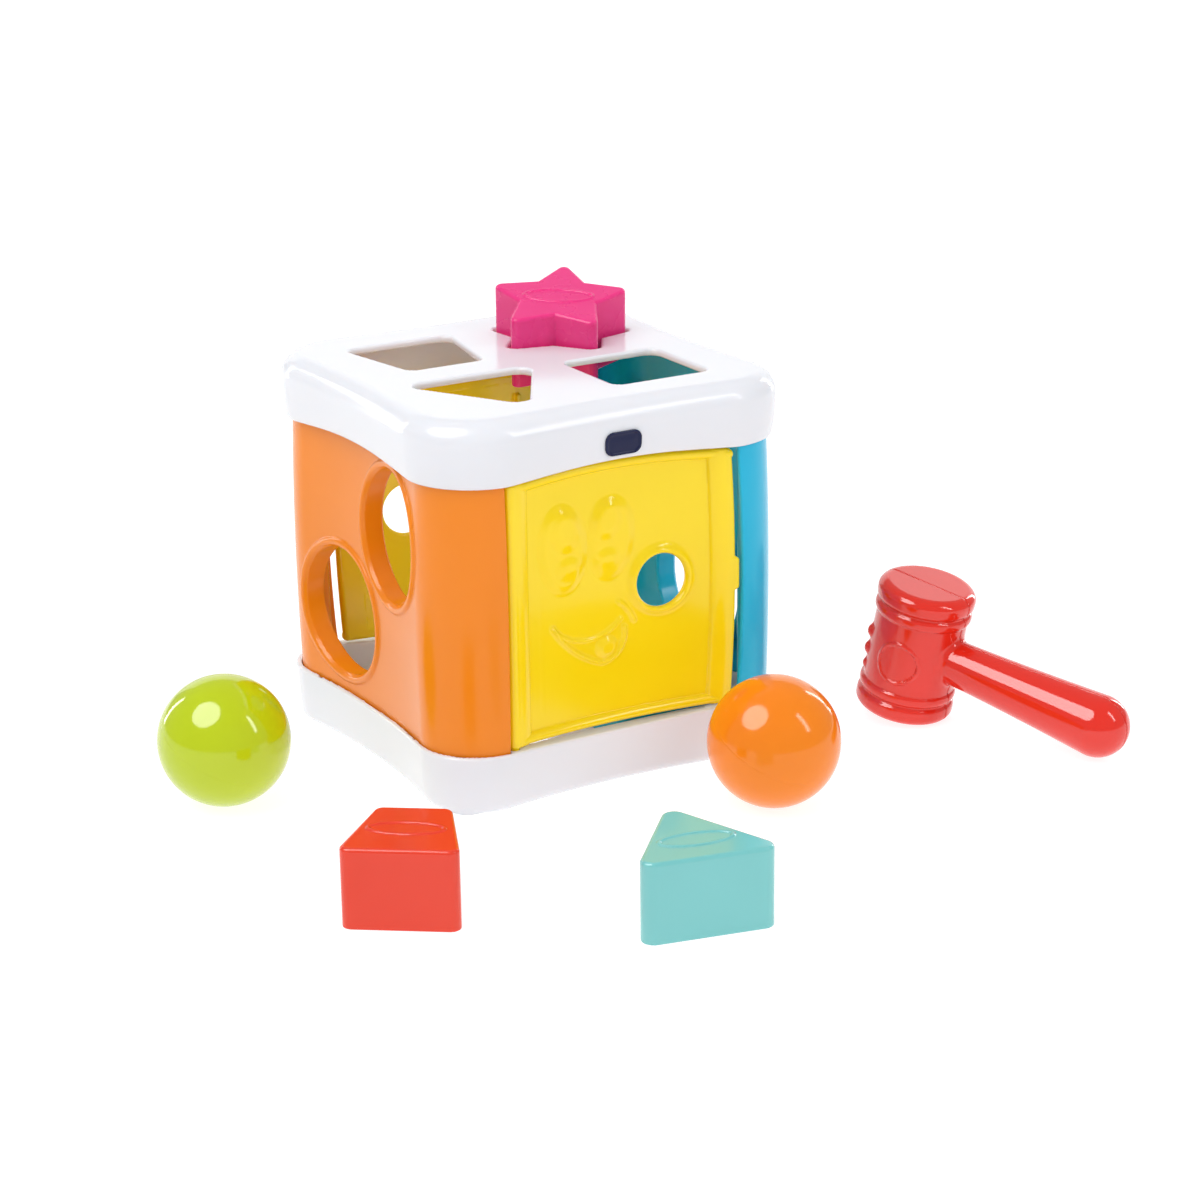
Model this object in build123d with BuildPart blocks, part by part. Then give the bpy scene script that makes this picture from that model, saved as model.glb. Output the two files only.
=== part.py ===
from build123d import *
import os
from math import cos, radians, sin, sqrt

# Shape-sorting cube of moulded plastic, with two hinged doors, four blocks, two balls and a toy hammer.
# Millimetres, +Z up. The origin is the middle of the cube's underside. The front door faces -Y,
# the orange side faces -X, and the cube looks the same after half a turn about Z.

# Cube plan: a square with round corners and gently hollow sides
wall_half = 79.4
wall_corner_r = 24.35
wall_sag = 4.8
wall = 2.6
wall_low = 15.2
wall_mid_z = 82.0
wall_high = 155.0
wall_bulge = 1.2
wall_top_lean = 1.0

# Base tray
base_half = 80.2
base_rim_half = 82.0
base_corner_r = 23.5
base_sag = 4.5
base_rim_z = 24.9
base_rim_dip = 1.3
base_round = 4.0
floor_low = 4.0
floor_high = 7.5
tray_half = 74.5
recess_half = 73.0
recess_corner_r = 30.0
slot_play = 0.3
screw_at = 67.6
post_r = 5.0
pillar_r = 7.8
screw_r = 1.75
screw_length = 30.0
screw_head_r = 3.6
screw_head_high = 2.4
screw_recess_r = 4.2
screw_play = 0.35

# Ball gates in the tray's floor: each is a ring of springy tongues, a little smaller than a ball
gate_r = 25.5
gate_slit_reach = 33.0
gate_slit = 2.4
gate_tongues = 8
gate_at = 33.0

# Lid
lid_half = 84.0
lid_corner_r = 31.0
lid_sag = 2.2
lid_low = 136.3
lid_top = 163.2
lid_round = 9.0
lid_taper = 1.5
lid_taper_high = 10.0
lid_arch = 3.2
lid_arch_half = 56.0
lid_deck = 3.2
skirt_half = 80.4
skirt_corner_r = 27.4
hole_lip = 1.3
post_top = 150.0
lid_post_r = 2.9
spigot_r = 2.6
spigot_length = 8.0
socket_wall = 2.3
socket_above_rim = 1.6

# Holes in the lid: half widths, depth or side, corner radius and place
trapezoid_hole_size = ((17.0, 25.0), 46.5, 5.0)
trapezoid_hole_at = (-32.0, 31.5)
triangle_hole_size = (61.0, 5.5)
triangle_hole_at = (-33.5, -29.0)
square_hole_size = (44.6, 5.0)
square_hole_at = (32.3, -35.6)
star_hole_at = (33.35, 30.03)
star_hole_turn = -35.2
star_hole_grow = 2.2

# Badge on the lid's front
badge_at = (-1.2, 146.4)
badge_size = (16.6, 9.8)
badge_corner_r = 3.6
badge_thick = 1.3
badge_round = 0.5

# Doors and their hinges
door_low = 25.4
door_end_high = 135.2
door_mid_high = 138.0
door_free_x = 52.2
door_free_bow = 2.0
door_depth = 4.0
door_field = 1.4
door_bar = 10.5
door_rib = 4.2
hinge_x = -50.2
knuckle_r = 2.6
pin_r = 2.0
pin_play = 0.05
pin_length = 10.0
panel_edge_x = 53.4
panel_edge_trim = 0.3
panel_bow = 3.2
door_hole_x = 21.0
door_hole_z = 83.0
door_hole_r = 11.3
door_hole_ring = 3.6
tab_size = (6.6, 14.0)
tab_corner_r = 1.2
tab_sunk = 0.5
tab_thick = 2.3

# The smiling face on each door, in front view
eyes = (((-25.3, 103.5), (11.6, 19.0)), ((-2.4, 104.5), (10.8, 17.2)))
eye_sunk = 0.4
smile_ends = ((-30.0, 71.0), (3.0, 69.5))
smile_upper = (-12.0, 62.8)
smile_lower = (-9.5, 53.0)
smile_sunk = 0.7

# Side windows: centre (y, z) and half sizes, with a raised bead outside and a collar inside
upper_window = ((-23.0, 104.3), (25.5, 28.0))
lower_window = ((23.6, 59.6), (28.5, 27.6))
window_bead = 4.4
bead_proud = 1.2
collar_depth = 9.0
collar_wall = 2.2

# Blocks
block_high = 32.3
block_wall = 2.2
block_round = 1.6
cap_play = 0.05
cap_thick = 2.2
oval_long = 15.0
oval_short = 6.0
oval_line = 1.0
oval_proud = 0.5
square_size = (43.0, 4.5)
trapezoid_size = ((14.5, 23.2), 42.0, 4.0)
trapezoid_at = (-132.5, -142.5)
trapezoid_turn = 144.4
triangle_size = (59.0, 5.0)
triangle_at = (-46.5, -208.0)
triangle_turn = 168.0

# Star block, resting aslant in its hole
star_point_r = 32.3
star_valley_r = 17.5
star_tip_round = 3.0
star_valley_round = 1.5
star_top = (31.3, 25.9, 181.06)
star_up = (-0.1073, -0.204, 0.97306)
star_across = -35.0

# Balls and hammer
ball_r = 27.06
ball_wall = 2.4
green_ball_at = (-147.8, -10.0)
orange_ball_at = (39.6, -129.35)
head_length = 59.2
head_belly = 0.6
flange_r = 21.2
flange_round = 4.0
flange_slope = 1.5
head_r = 19.4
flange_high = 8.5
handle_root = 4.0
handle_r = 9.6
handle_end_r = 14.4
handle_reach = 104.2
hammer_wall = 2.4
hammer_at = (146.2, -78.5)
hammer_way = -66.5
hammer_tilt = 11.6

os.makedirs("parts", exist_ok=True)
quarter_turns = (0, 90, 180, 270)
side_centre = wall_half - wall_corner_r
side_r = (side_centre**2 + wall_sag**2) / (2 * wall_sag) - wall_corner_r
side_reach = side_r + wall_half - wall_sag


def save(piece, name):
    """Label one finished piece and write it."""
    piece.label = name
    export_step(piece, f"parts/{name}.step")


def turned(point, degrees):
    """A plan point turned about Z."""
    return Vector(*point).rotate(Axis.Z, degrees)


def plan_points(half, corner_r, sag):
    """Where a corner arc meets its side arc, the corner arc's middle and the side arc's middle."""
    centre = half - corner_r
    both_r = (centre**2 + sag**2) / (2 * sag)
    reach = both_r - corner_r + half - sag
    join = (centre - corner_r * centre / both_r, -centre - corner_r * (reach - centre) / both_r)
    corner = centre + corner_r / sqrt(2)
    return join, (corner, -corner), (0, sag - half)


def hollow_square(half, corner_r, sag):
    """Plan outline of the cube: round corners joined by gently hollow sides."""
    join, corner, side = plan_points(half, corner_r, sag)
    with BuildSketch() as outline:
        with BuildLine():
            for turn in quarter_turns:
                start = turned((-join[0], join[1]), turn)
                finish = turned(join, turn)
                ThreePointArc(start, turned(side, turn), finish)
                ThreePointArc(finish, turned(corner, turn), turned((-join[0], join[1]), turn + 90))
        make_face()
    return outline.sketch


def wall_run(inside, outside):
    """The left wall with both its corners, between two offsets from the cube's outer face."""
    join, corner, side = plan_points(wall_half, wall_corner_r, wall_sag)
    start, front_corner, left = Vector(-join[0], join[1]), turned(corner, -90), turned(join, -90)
    with BuildPart() as run:
        with BuildLine() as path:
            ThreePointArc(start, front_corner, left)
            ThreePointArc(left, (side[1], 0), (left.X, -left.Y))
            ThreePointArc((left.X, -left.Y), (front_corner.X, -front_corner.Y), (start.X, -start.Y))
        along = (path.line % 0).normalized()
        outward = Vector(0, 0, 1).cross(along)
        with BuildSketch(Plane(origin=path.line @ 0, x_dir=outward, z_dir=along)):
            with BuildLine():
                profile = [(0, wall_low), (wall_bulge, wall_mid_z), (-wall_top_lean, wall_high)]
                outer = ThreePointArc(*[(x + outside, z) for x, z in profile])
                inner = ThreePointArc(*[(x + inside, z) for x, z in profile])
                Line(outer @ 0, inner @ 0)
                Line(outer @ 1, inner @ 1)
            make_face()
        sweep()
    return run.part


def curved_layer(shape, proud, depth):
    """What of the front's hollow face lies inside a front view shape, from proud of it to this depth."""
    with BuildPart() as layer:
        with BuildSketch():
            with Locations((0, -side_reach)):
                Circle(side_r + depth)
                Circle(side_r - proud, mode=Mode.SUBTRACT)
            with Locations((0, -wall_half)):
                Rectangle(2 * wall_half, wall_half, mode=Mode.INTERSECT)
        extrude(amount=wall_high)
        with BuildSketch(Plane.XZ):
            add(shape)
        extrude(amount=2 * wall_half, mode=Mode.INTERSECT)
    return layer.part


def rounded_outline(points, corner_r):
    """A closed outline through corner points, rounded at each."""
    with BuildSketch() as outline:
        with BuildLine():
            Polyline(*points, close=True)
        make_face()
        fillet(outline.vertices(), corner_r)
    return outline.sketch


def star_outline(grow=0.0):
    """Five-pointed star with blunt, rounded points, the first one along +Y."""
    points = []
    for step in range(10):
        reach = (star_valley_r if step % 2 else star_point_r) + grow
        points.append(Vector(0, reach).rotate(Axis.Z, step * 36))
    with BuildSketch() as outline:
        with BuildLine():
            Polyline(*points, close=True)
        make_face()
        tips = outline.vertices().sort_by(lambda v: v.center().length)[-5:]
        fillet(tips, star_tip_round + grow / 2)
        valleys = outline.vertices().sort_by(lambda v: v.center().length)[:5]
        fillet(valleys, star_valley_round)
    return outline.sketch


def trapezoid_outline(half_widths, depth, corner_r):
    """A trapezoid centred on the origin, given its front and back half widths."""
    front, back = half_widths
    points = [(-front, -depth / 2), (front, -depth / 2), (back, depth / 2), (-back, depth / 2)]
    return rounded_outline(points, corner_r)


def triangle_outline(side, corner_r):
    """An equilateral triangle with its flat side towards +Y, before rounding side long."""
    high = side * sqrt(3) / 2
    points = [(-side / 2, high / 3), (0, -2 * high / 3), (side / 2, high / 3)]
    return rounded_outline(points, corner_r)


def square_outline(side, corner_r):
    """A square with rounded corners."""
    with BuildSketch() as outline:
        RectangleRounded(side, side, corner_r)
    return outline.sketch


def block_pieces(outline, plane):
    """A hollow block with an oval line moulded on its top, and the cap that closes it from below."""
    with BuildPart() as shell:
        with BuildSketch(plane):
            add(outline)
        extrude(amount=block_high)
        top = shell.faces().sort_by(Axis(plane.origin, plane.z_dir))[-1]
        fillet(top.edges(), block_round)
        with BuildSketch(plane):
            offset(outline, amount=-block_wall)
        extrude(amount=block_high - block_wall, mode=Mode.SUBTRACT)
        with BuildSketch(plane.offset(block_high)):
            Ellipse(oval_long, oval_short)
            Ellipse(oval_long - oval_line, oval_short - oval_line, mode=Mode.SUBTRACT)
        extrude(amount=oval_proud)
    with BuildPart() as cap:
        with BuildSketch(plane.offset(cap_play)):
            offset(outline, amount=-block_wall - cap_play)
        extrude(amount=cap_thick)
    return shell.part, cap.part


# Lid
lid_holes = (
    (trapezoid_outline(*trapezoid_hole_size), Location(trapezoid_hole_at)),
    (triangle_outline(*triangle_hole_size), Location(triangle_hole_at)),
    (square_outline(*square_hole_size), Location(square_hole_at)),
    (star_outline(star_hole_grow), Location(star_hole_at, star_hole_turn)),
)
post_places = [(x, y) for x in (-screw_at, screw_at) for y in (-screw_at, screw_at)]
hinge_y = -side_reach + sqrt(side_r**2 - hinge_x**2) + knuckle_r
hinge_places = [(hinge_x, hinge_y), (-hinge_x, -hinge_y)]
pin_hole_r = pin_r + pin_play
socket_r = pin_r + socket_wall
socket_low = lid_low + socket_above_rim

with BuildPart() as lid:
    with BuildSketch(Plane.XY.offset(lid_low)):
        add(hollow_square(lid_half, lid_corner_r, lid_sag))
    extrude(amount=lid_top - lid_low)
    fillet(lid.faces().sort_by(Axis.Z)[-1].edges(), lid_round)
    underside = lid.faces().sort_by(Axis.Z)[0]
    chamfer(underside.edges(), length=lid_taper, length2=lid_taper_high, reference=underside)
    with BuildSketch(Plane.XY.offset(lid_low)):
        add(hollow_square(skirt_half, skirt_corner_r, lid_sag))
    extrude(amount=lid_top - lid_deck - lid_low, mode=Mode.SUBTRACT)
    for view in (Plane.XZ, Plane.YZ):
        with BuildSketch(view):
            with BuildLine():
                arch = ThreePointArc(
                    (-lid_arch_half, lid_low), (0, lid_low + lid_arch), (lid_arch_half, lid_low)
                )
                Polyline(arch @ 1, (lid_arch_half, 0), (-lid_arch_half, 0), arch @ 0)
            make_face()
        extrude(amount=lid_half, both=True, mode=Mode.SUBTRACT)
    with BuildSketch(Plane.XY.offset(lid_top)):
        for hole, place in lid_holes:
            with Locations(place):
                add(hole)
    extrude(amount=-2 * lid_deck, mode=Mode.SUBTRACT)
    deck = lid.faces().filter_by(Plane.XY).sort_by(Axis.Z)[-1]
    fillet(deck.inner_wires().edges(), hole_lip)
    with BuildSketch(Plane.XY.offset(lid_top - lid_deck)):
        with Locations(*post_places):
            Circle(lid_post_r)
    extrude(amount=post_top + cap_play - (lid_top - lid_deck))
    with BuildSketch(Plane.XY.offset(post_top + cap_play)):
        with Locations(*post_places):
            Circle(spigot_r)
    extrude(amount=-spigot_length)
    with BuildSketch(Plane.XY.offset(socket_low)):
        with Locations(*hinge_places):
            Circle(socket_r)
    extrude(amount=lid_top - lid_deck - socket_low)
    with BuildSketch(Plane.XY.offset(socket_low)):
        with Locations(*hinge_places):
            Circle(pin_hole_r)
    extrude(amount=pin_length, mode=Mode.SUBTRACT)
save(lid.part, "lid")

with BuildPart() as lid_badge:
    lid_front = lid_half - lid_sag
    with BuildSketch(Plane.XZ.offset(lid_front + 2 * cap_play)):
        with Locations(badge_at):
            RectangleRounded(*badge_size, badge_corner_r)
    extrude(amount=badge_thick)
    fillet(lid_badge.faces().sort_by(Axis.Y)[0].edges(), badge_round)
save(lid_badge.part, "lid_badge")


def window_view(window, grow=0.0):
    """A window's oval in the left view, grown all round."""
    (y, z), (half_y, half_z) = window
    with BuildSketch() as oval:
        with Locations((-y, z)):
            Ellipse(half_y + grow, half_z + grow)
    return oval.sketch


def within_left_view(shapes, body):
    """What of a body lies inside shapes pushed through the left side."""
    with BuildPart() as made:
        add(body)
        with BuildSketch(left_view):
            for shape in shapes:
                add(shape)
        extrude(amount=2 * wall_half, mode=Mode.INTERSECT)
    return made.part


# Side panels, each with two screw posts and two framed windows
left_view = Plane(origin=(0, 0, 0), x_dir=(0, -1, 0), z_dir=(-1, 0, 0))
windows = (upper_window, lower_window)
bead_views = [window_view(window, window_bead) for window in windows]
collar_views = [window_view(window, collar_wall) for window in windows]
beads = within_left_view(bead_views, wall_run(-wall / 2, bead_proud))
collars = within_left_view(collar_views, wall_run(-collar_depth, -wall / 2))

with BuildPart() as orange_side_panel:
    add(wall_run(-wall, 0))
    add(beads)
    add(collars)
    with BuildSketch(left_view):
        for window in windows:
            add(window_view(window))
    extrude(amount=2 * wall_half, mode=Mode.SUBTRACT)
    for side in (-1, 1):
        with BuildSketch(Plane.XY.offset(base_rim_z + cap_play)):
            with Locations((-screw_at, side * screw_at)):
                Circle(post_r)
        extrude(amount=post_top - base_rim_z - cap_play)
        with BuildSketch(Plane.XY.offset(base_rim_z)):
            with Locations((-screw_at, side * screw_at)):
                Circle(screw_r + pin_play)
        extrude(amount=screw_length, mode=Mode.SUBTRACT)
        with BuildSketch(Plane.XY.offset(post_top)):
            with Locations((-screw_at, side * screw_at)):
                Circle(spigot_r + pin_play)
        extrude(amount=-spigot_length - 1, mode=Mode.SUBTRACT)
    # Straight front edge beside the door's hinge, bowed back edge for a finger behind the other door
    with BuildSketch(Plane.XZ):
        Rectangle(2 * panel_edge_x, 2 * wall_high)
    extrude(amount=2 * wall_half, mode=Mode.SUBTRACT)
    with BuildSketch(Plane.XZ):
        with BuildLine():
            edge = ThreePointArc(
                (-panel_edge_x + panel_edge_trim, 0),
                (-panel_edge_x - panel_bow, wall_mid_z),
                (-panel_edge_x + panel_edge_trim, 2 * wall_mid_z),
            )
            Polyline(edge @ 1, (0, 2 * wall_mid_z), (0, 0), edge @ 0)
        make_face()
    extrude(amount=-2 * wall_half, mode=Mode.SUBTRACT)
    # Room for the hinge sockets in the lid
    with BuildSketch(Plane.XY.offset(socket_low - 1)):
        with Locations((hinge_x, hinge_y), (hinge_x, -hinge_y)):
            Circle(socket_r + 2 * slot_play)
    extrude(amount=wall_high, mode=Mode.SUBTRACT)
save(orange_side_panel.part, "orange_side_panel")

blue_side_panel = orange_side_panel.part.rotate(Axis.Z, 180)
save(blue_side_panel, "blue_side_panel")

# Base tray
panel_slot = wall_run(-wall - slot_play, slot_play)
with BuildPart() as panel_slots:
    add(panel_slot)
    add(panel_slot.rotate(Axis.Z, 180))
    with BuildSketch():
        Rectangle(2 * (panel_edge_x - slot_play), 4 * wall_half)
    extrude(amount=wall_high, mode=Mode.SUBTRACT)
    split(bisect_by=Plane.XY.offset(wall_low - slot_play), keep=Keep.TOP)

with BuildPart() as base_tray:
    with BuildSketch():
        add(hollow_square(base_half, base_corner_r, base_sag))
    with BuildSketch(Plane.XY.offset(base_rim_z)):
        add(hollow_square(base_rim_half, base_corner_r + base_rim_half - base_half, base_sag))
    loft(ruled=True)
    fillet(base_tray.faces().sort_by(Axis.Z)[0].edges(), base_round)
    for view in (Plane.XZ, Plane.YZ):
        with BuildSketch(view):
            with BuildLine():
                dip = ThreePointArc(
                    (-lid_arch_half, base_rim_z), (0, base_rim_z - base_rim_dip), (lid_arch_half, base_rim_z)
                )
                Polyline(dip @ 1, (lid_arch_half, wall_mid_z), (-lid_arch_half, wall_mid_z), dip @ 0)
            make_face()
        extrude(amount=base_rim_half, both=True, mode=Mode.SUBTRACT)
    with BuildSketch(Plane.XY.offset(floor_high)):
        add(hollow_square(tray_half, base_corner_r, base_sag))
    extrude(amount=base_rim_z, mode=Mode.SUBTRACT)
    with BuildSketch(Plane.XY.offset(floor_high)):
        with Locations(*post_places):
            Circle(pillar_r)
    extrude(amount=base_rim_z - floor_high)
    with BuildSketch():
        add(hollow_square(recess_half, recess_corner_r, base_sag))
    extrude(amount=floor_low, mode=Mode.SUBTRACT)
    add(panel_slots.part, mode=Mode.SUBTRACT)
    with BuildSketch():
        with Locations((-gate_at, -gate_at), (gate_at, gate_at)):
            Circle(gate_r)
            with PolarLocations((gate_r + gate_slit_reach) / 2, gate_tongues):
                SlotOverall(gate_slit_reach - gate_r + 2 * gate_slit, gate_slit)
    extrude(amount=floor_high, mode=Mode.SUBTRACT)
    with BuildSketch():
        with Locations(*post_places):
            Circle(screw_recess_r)
    extrude(amount=floor_high, mode=Mode.SUBTRACT)
    with BuildSketch():
        with Locations(*post_places):
            Circle(screw_r + screw_play)
    extrude(amount=wall_high, mode=Mode.SUBTRACT)
    with BuildSketch(Plane.XY.offset(door_low)):
        with Locations(*hinge_places):
            Circle(pin_hole_r)
    extrude(amount=-pin_length - 1, mode=Mode.SUBTRACT)
save(base_tray.part, "base_tray")

with BuildPart() as base_screws:
    with BuildSketch(Plane.XY.offset(floor_high - cap_play)):
        with Locations(*post_places):
            Circle(screw_head_r)
    extrude(amount=-screw_head_high)
    with BuildSketch(Plane.XY.offset(floor_high - cap_play)):
        with Locations(*post_places):
            Circle(screw_r)
    extrude(amount=screw_length)
save(base_screws.part, "base_screws")


def door_front():
    """Front view of a door: straight at the hinge and below, arched above, bowed at the free edge."""
    with BuildSketch() as front:
        with BuildLine():
            top = ThreePointArc((hinge_x, door_end_high), (0, door_mid_high), (door_free_x, door_end_high))
            free = ThreePointArc(top @ 1, (door_free_x + door_free_bow, wall_mid_z), (door_free_x, door_low))
            Polyline(free @ 1, (hinge_x, door_low), top @ 0)
        make_face()
    return front.sketch


def door_field_view():
    """The thin field inside the door's bars and ribs."""
    left, right = hinge_x + door_bar - knuckle_r, door_free_x - door_bar + 1.5
    low, high = door_low + door_rib, door_end_high - door_rib
    with BuildSketch() as field:
        with BuildLine():
            top = ThreePointArc((left, high), (0, door_mid_high - door_rib), (right, high))
            Polyline(top @ 1, (right, low), (left, low), top @ 0)
        make_face()
        fillet(field.vertices(), 1.0)
    return field.sketch


def eyes_view():
    """Two tall touching ovals."""
    with BuildSketch() as view:
        for place, half_sizes in eyes:
            with Locations(place):
                Ellipse(*half_sizes)
    return view.sketch


def smile_view():
    """An open smile: a crescent between a shallow and a deep arc."""
    with BuildSketch() as smile:
        with BuildLine():
            ThreePointArc(smile_ends[0], smile_upper, smile_ends[1])
            ThreePointArc(smile_ends[0], smile_lower, smile_ends[1])
        make_face()
    return smile.sketch


def disc_view(radius):
    """A round spot about the door's finger hole."""
    with BuildSketch() as disc:
        with Locations((door_hole_x, door_hole_z)):
            Circle(radius)
    return disc.sketch


def tab_view():
    """The small catch on the free edge."""
    with BuildSketch() as tab:
        with Locations((door_free_x, door_hole_z - 1.5)):
            RectangleRounded(*tab_size, tab_corner_r)
    return tab.sketch


# Doors: a thin hollow field in a raised frame, with a knuckle and two pins along the hinge edge
frame_view = door_front() - door_field_view()
frame_layer = curved_layer(frame_view, 0, door_depth)
field_layer = curved_layer(door_front(), -door_field, door_depth)
eye_layer = curved_layer(eyes_view(), -eye_sunk, door_depth)
smile_layer = curved_layer(smile_view(), -smile_sunk, door_depth)
ring_layer = curved_layer(disc_view(door_hole_r + door_hole_ring), 0, door_depth)
tab_layer = curved_layer(tab_view(), -tab_sunk, tab_sunk + tab_thick)

with BuildPart() as front_door:
    add(field_layer)
    add(frame_layer)
    add(eye_layer)
    add(smile_layer)
    add(ring_layer)
    add(tab_layer)
    with BuildSketch(Plane.XY.offset(door_low)):
        with Locations((hinge_x, hinge_y)):
            Circle(knuckle_r)
    extrude(amount=door_end_high - door_low)
    with BuildSketch(Plane.XY.offset(door_low - pin_length)):
        with Locations((hinge_x, hinge_y)):
            Circle(pin_r)
    extrude(amount=door_end_high - door_low + 2 * pin_length)
    with BuildSketch(Plane.XZ):
        add(disc_view(door_hole_r))
    extrude(amount=2 * wall_half, mode=Mode.SUBTRACT)
save(front_door.part, "front_door")
save(front_door.part.rotate(Axis.Z, 180), "back_door")


def standing(place, turn, height):
    """An upright block's plane, turned about Z at a height above the surface."""
    return Plane((*place, height)).rotated((0, 0, turn))


# Blocks. Each stands on its own plane, whose origin is the middle of its underside
star_side = (cos(radians(star_across)), sin(radians(star_across)), 0)
star_plane = Plane(origin=star_top, x_dir=star_side, z_dir=star_up).offset(-block_high)
block_shapes = {
    "star": (star_outline(), star_plane),
    "square": (square_outline(*square_size), standing(square_hole_at, 0, floor_high + cap_play)),
    "trapezoid": (trapezoid_outline(*trapezoid_size), standing(trapezoid_at, trapezoid_turn, 0)),
    "triangle": (triangle_outline(*triangle_size), standing(triangle_at, triangle_turn, 0)),
}
for name, (outline, plane) in block_shapes.items():
    shell, cap = block_pieces(outline, plane)
    save(shell, f"{name}_block_shell")
    save(cap, f"{name}_block_cap")

# Balls: two moulded half shells each, meeting at the middle
for colour, place in (("green", green_ball_at), ("orange", orange_ball_at)):
    with BuildPart() as ball:
        with Locations((*place, ball_r)):
            Sphere(ball_r)
            Sphere(ball_r - ball_wall, mode=Mode.SUBTRACT)
    middle = Plane.XY.offset(ball_r)
    save(split(ball.part, bisect_by=middle, keep=Keep.TOP), f"{colour}_ball_top_half")
    save(split(ball.part, bisect_by=middle, keep=Keep.BOTTOM), f"{colour}_ball_bottom_half")

# Hammer: head and handle are moulded together in two halves, which meet along the handle
tilt, way = radians(hammer_tilt), radians(hammer_way)
rim_centre = (flange_r - flange_round, head_length / 2 - flange_round)
hammer_z = rim_centre[0] * sin(tilt) + rim_centre[1] * cos(tilt) + flange_round + cap_play
handle_dir = Vector(cos(way) * cos(tilt), sin(way) * cos(tilt), -sin(tilt))
head_dir = Vector(cos(way) * sin(tilt), sin(way) * sin(tilt), cos(tilt))
hammer_plane = Plane(origin=(*hammer_at, hammer_z), x_dir=handle_dir, z_dir=head_dir)


def hammer_body(shrink):
    """The hammer's solid shape, drawn in from its surface."""
    top = head_length / 2 - shrink
    rim, waist = flange_r - shrink, head_r - shrink
    neck = head_length / 2 - flange_high
    near, far = handle_r - shrink, handle_end_r - shrink
    end = handle_reach - handle_end_r
    with BuildPart() as body:
        with BuildSketch(Plane.XZ):
            with BuildLine():
                Line((0, top), (rim - flange_round, top))
                RadiusArc((rim - flange_round, top), (rim, top - flange_round), flange_round)
                Polyline((rim, top - flange_round), (rim, neck + flange_slope), (waist, neck))
                mirror(about=Plane.XZ)
                ThreePointArc((waist, neck), (waist + head_belly, 0), (waist, -neck))
                Line((0, top), (0, -top))
            make_face()
        revolve(axis=Axis.Z)
        with BuildSketch(Plane.XZ):
            with BuildLine():
                Polyline((end, far), (waist - handle_root, near), (waist - handle_root, 0), (end + far, 0))
                RadiusArc((end + far, 0), (end, far), -far)
            make_face()
        revolve(axis=Axis.X)
    return body.part


with BuildPart() as hammer:
    add(hammer_body(0))
    add(hammer_body(hammer_wall), mode=Mode.SUBTRACT)
placed = hammer_plane.location * hammer.part
seam = Plane(origin=hammer_plane.origin, z_dir=hammer_plane.y_dir)
save(split(placed, bisect_by=seam, keep=Keep.TOP), "hammer_right_half")
save(split(placed, bisect_by=seam, keep=Keep.BOTTOM), "hammer_left_half")
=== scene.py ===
from math import cos, pi, radians, sin, sqrt

import bpy
import numpy as np
from mathutils import Matrix, Vector


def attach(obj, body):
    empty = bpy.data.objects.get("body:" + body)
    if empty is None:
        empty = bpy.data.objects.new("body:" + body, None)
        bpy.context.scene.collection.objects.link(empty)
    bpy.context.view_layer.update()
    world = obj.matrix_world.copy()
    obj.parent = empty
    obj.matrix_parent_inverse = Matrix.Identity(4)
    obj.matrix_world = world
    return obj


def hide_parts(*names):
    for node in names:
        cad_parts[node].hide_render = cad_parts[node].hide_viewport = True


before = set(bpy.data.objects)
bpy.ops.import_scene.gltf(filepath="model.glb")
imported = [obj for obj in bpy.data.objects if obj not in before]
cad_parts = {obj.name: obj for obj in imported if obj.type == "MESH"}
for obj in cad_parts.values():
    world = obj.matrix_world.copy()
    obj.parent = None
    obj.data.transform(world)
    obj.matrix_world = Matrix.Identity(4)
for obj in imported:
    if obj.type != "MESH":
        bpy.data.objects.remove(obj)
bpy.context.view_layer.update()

MM = 0.001

# Cube plan, in millimetres: half width, corner radius and how far each side is hollow
WALL = (79.4, 24.35, 4.8)
WALL_THICK = 2.6
WALL_LOW, WALL_MID, WALL_HIGH = 15.2, 82.0, 155.0
WALL_BULGE, WALL_LEAN = 1.2, 1.0
PANEL_EDGE, PANEL_BOW = 53.4, 3.2
# Each hollow side is part of a circle: its radius, and how far its centre is from the cube's middle
SIDE_R = ((WALL[0] - WALL[1]) ** 2 + WALL[2] ** 2) / (2 * WALL[2]) - WALL[1]
SIDE_REACH = SIDE_R + WALL[0] - WALL[2]

LID = (84.0, 31.0, 2.2)
LID_LOW, LID_TOP, LID_DECK = 136.3, 163.2, 3.2
LID_ROUND, LID_ARCH, ARCH_HALF = 9.5, 3.2, 56.0
LID_TUCK, TUCK_FROM, TUCK_HIGH = 1.5, 151, 14.7
SKIRT = (80.4, 27.4, 2.2)
BASE = (80.2, 23.5, 4.5)
BASE_FLARE, BASE_TOP, BASE_DIP, BASE_ROUND = 1.8, 24.9, 1.3, 4.0
TRAY = (74.5, 23.5, 4.5)
RECESS = (73.0, 30.0, 4.5)
FLOOR_LOW, FLOOR_HIGH = 4.0, 7.5
SCREW_AT, POST_R, POST_TOP = 67.6, 5.0, 150.0
PILLAR_R, SCREW_HEAD_R, SCREW_BORE_R = 7.8, 4.2, 2.1
LID_POST_R, SOCKET_R, PIN_BORE_R, SOCKET_DEPTH = 2.9, 4.3, 2.1, 11.0
SLOT_PLAY, SLOT_LOW, SLOT_EDGE = 0.3, 14.9, 53.1
PIN_HOLE_LOW, SOCKET_ROOM = 14.4, 4.9
GATE_AT, GATE_R, GATE_REACH, GATE_SLIT = 33.0, 25.5, 33.0, 2.4

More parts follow.
